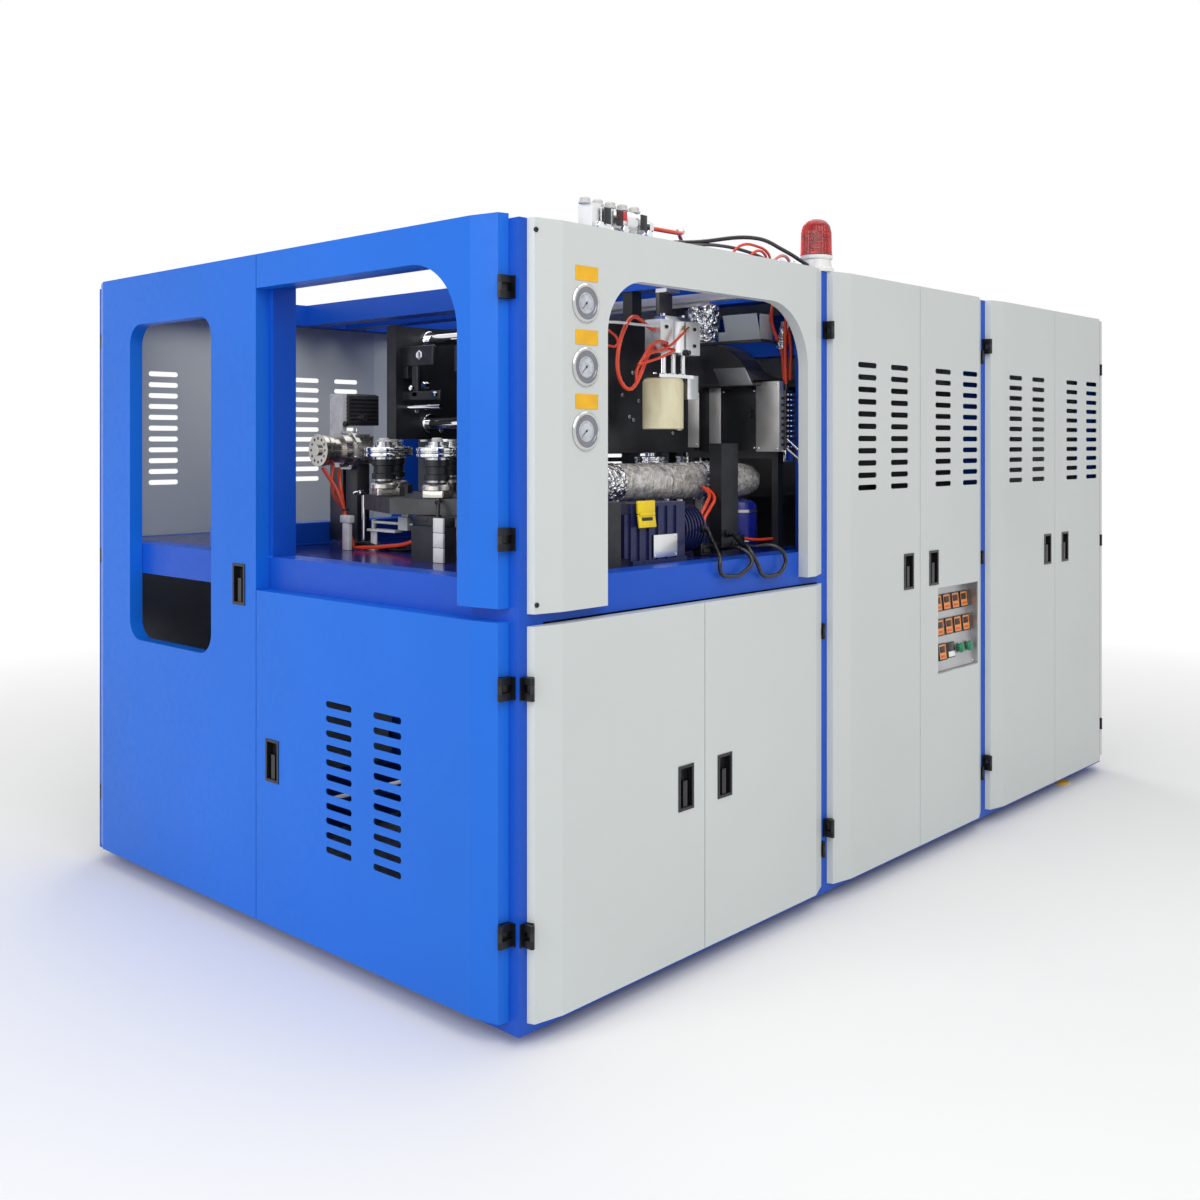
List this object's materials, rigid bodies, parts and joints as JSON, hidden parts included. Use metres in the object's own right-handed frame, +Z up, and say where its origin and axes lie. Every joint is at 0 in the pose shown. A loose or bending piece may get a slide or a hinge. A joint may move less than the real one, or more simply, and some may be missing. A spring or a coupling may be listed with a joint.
{
  "type": "blow moulding machine",
  "caption": "Blow moulding machine: a tubular frame clad in folded blue and grey doors, with a transfer table, a clamp, an oven and a lifting cylinder behind open bays.",
  "frame": {"origin": "centre of the footprint on the floor, under the feet", "axes": "+X along the row of grey doors away from the blue end, +Y from the front doors to the rear, +Z up"},
  "size_m": [3.6624, 2.2184, 2.176],
  "materials": {
    "blue_paint": "orange-peel gloss powder coat",
    "grey_paint": "orange-peel satin powder coat",
    "black": "fine grain",
    "chrome": "polished with fine turning marks",
    "steel": "brushed",
    "yellow": "satin",
    "white_plastic": "moulded",
    "red_lens": "clear moulded, ribbed",
    "mirror_metal": "polished",
    "orange_case": "moulded with a dark display",
    "green": "moulded dome",
    "nylon": "machined",
    "black_steel": "blackened, machined",
    "navy_paint": "gloss",
    "dark_sheet": "heat-darkened",
    "wrapping": "bubble wrap over foil",
    "orange_hose": "smooth",
    "black_cable": "smooth"
  },
  "bodies": {
    "frame": {"frame_posts": "blue_paint", "frame_beams_x": "blue_paint", "frame_beams_y": "blue_paint", "bed_plate": "blue_paint", "roof_sheets": "grey_paint", "front_upper_panel": "grey_paint", "rear_panels": "grey_paint", "end_panel": "grey_paint", "levelling_feet": "yellow", "hinge_leaves": "black", "gauges": "chrome", "gauge_labels": "yellow", "beacon_base": "white_plastic", "beacon_lens": "red_lens", "guide_cylinder": "steel", "clamp_plates": "black_steel", "tie_bars": "chrome", "table_hub": "black_steel", "drive_unit": "navy_paint", "oven_end": "steel", "oven_bank": "steel", "oven_spindles": "chrome", "hot_air_hood": "dark_sheet", "wrapped_duct": "wrapping", "rotary_chuck": "steel", "top_valves": "steel", "air_hoses": "orange_hose", "cables": "black_cable"},
    "end_tall_door": {"door_end_tall": "blue_paint", "fit_end_tall": "black"},
    "end_upper_door": {"door_end_upper": "blue_paint", "fit_end_upper": "black"},
    "end_lower_door": {"door_end_lower": "blue_paint", "fit_end_lower": "black"},
    "front_left_door": {"door_front_left": "grey_paint", "fit_front_left": "black"},
    "front_right_door": {"door_front_right": "grey_paint", "fit_front_right": "black"},
    "second_left_door": {"door_m2_left": "grey_paint", "fit_m2_left": "black"},
    "second_right_door": {"door_m2_right": "grey_paint", "fit_m2_right": "black", "console": "chrome", "controllers": "orange_case"},
    "third_left_door": {"door_m3_left": "grey_paint", "fit_m3_left": "black"},
    "third_right_door": {"door_m3_right": "grey_paint", "fit_m3_right": "black"},
    "rear_left_door": {"door_rear_left": "grey_paint", "fit_rear_left": "black"},
    "rear_right_door": {"door_rear_right": "grey_paint", "fit_rear_right": "black"},
    "lamp_reflector": {"beacon_reflector": "mirror_metal"},
    "start_button": {"button_square": "green"},
    "stop_button": {"button_round": "green"},
    "carriage": {"slide_carriage": "chrome", "nylon_block": "nylon"},
    "platen": {"moving_platen": "black_steel"},
    "table": {"transfer_table": "black_steel", "station_discs": "chrome"}
  },
  "joints": [
    {"name": "front_left_door_hinge", "type": "hinge", "parent": "frame", "child": "front_left_door", "pos_m": [-1.76575, -1.09425, 0.06], "axis": [0, 0, -1], "range_deg": [0, 110]},
    {"name": "front_right_door_hinge", "type": "hinge", "parent": "frame", "child": "front_right_door", "pos_m": [-0.45975, -1.07525, 0.06], "axis": [0, 0, 1], "range_deg": [0, 75]},
    {"name": "second_left_door_hinge", "type": "hinge", "parent": "frame", "child": "second_left_door", "pos_m": [-0.43975, -1.09425, 0.06], "axis": [0, 0, -1], "range_deg": [0, 90]},
    {"name": "second_right_door_hinge", "type": "hinge", "parent": "frame", "child": "second_right_door", "pos_m": [0.64325, -1.07525, 0.06], "axis": [0, 0, 1], "range_deg": [0, 80]},
    {"name": "third_left_door_hinge", "type": "hinge", "parent": "frame", "child": "third_left_door", "pos_m": [0.66825, -1.09425, 0.06], "axis": [0, 0, -1], "range_deg": [0, 90]},
    {"name": "third_right_door_hinge", "type": "hinge", "parent": "frame", "child": "third_right_door", "pos_m": [1.80325, -1.07525, 0.06], "axis": [0, 0, 1], "range_deg": [0, 110]},
    {"name": "end_upper_door_hinge", "type": "hinge", "parent": "frame", "child": "end_upper_door", "pos_m": [-1.81975, -1.04025, 0.06], "axis": [0, 0, 1], "range_deg": [0, 110]},
    {"name": "end_lower_door_hinge", "type": "hinge", "parent": "frame", "child": "end_lower_door", "pos_m": [-1.81975, -1.04025, 0.06], "axis": [0, 0, 1], "range_deg": [0, 110]},
    {"name": "end_tall_door_hinge", "type": "hinge", "parent": "frame", "child": "end_tall_door", "pos_m": [-1.79075, 1.04275, 0.06], "axis": [0, 0, -1], "range_deg": [0, 95]},
    {"name": "rear_left_door_hinge", "type": "hinge", "parent": "frame", "child": "rear_left_door", "pos_m": [-0.46975, 1.07875, 0.06], "axis": [0, 0, -1], "range_deg": [0, 90]},
    {"name": "rear_right_door_hinge", "type": "hinge", "parent": "frame", "child": "rear_right_door", "pos_m": [-1.75575, 1.07875, 0.06], "axis": [0, 0, 1], "range_deg": [0, 95]},
    {"name": "table_turn", "type": "hinge", "parent": "frame", "child": "table", "pos_m": [-1.17675, -0.27825, 1.297], "axis": [0, 0, 1], "continuous": true},
    {"name": "lamp_turn", "type": "hinge", "parent": "frame", "child": "lamp_reflector", "pos_m": [-0.42675, -1.02525, 2.063], "axis": [0, 0, 1], "continuous": true},
    {"name": "carriage_lift", "type": "slide", "parent": "frame", "child": "carriage", "axis": [0, 0, 1], "range_m": [0, 0.055]},
    {"name": "platen_slide", "type": "slide", "parent": "frame", "child": "platen", "axis": [0, 1, 0], "range_m": [0, 0.2]},
    {"name": "start_button_press", "type": "slide", "parent": "second_right_door", "child": "start_button", "axis": [0, 0.9945, -0.1045], "range_m": [0, 0.005], "stiffness_N_per_m": 300, "springref_m": -0.001},
    {"name": "stop_button_press", "type": "slide", "parent": "second_right_door", "child": "stop_button", "axis": [0, 0.9945, -0.1045], "range_m": [0, 0.005], "stiffness_N_per_m": 300, "springref_m": -0.001}
  ]
}
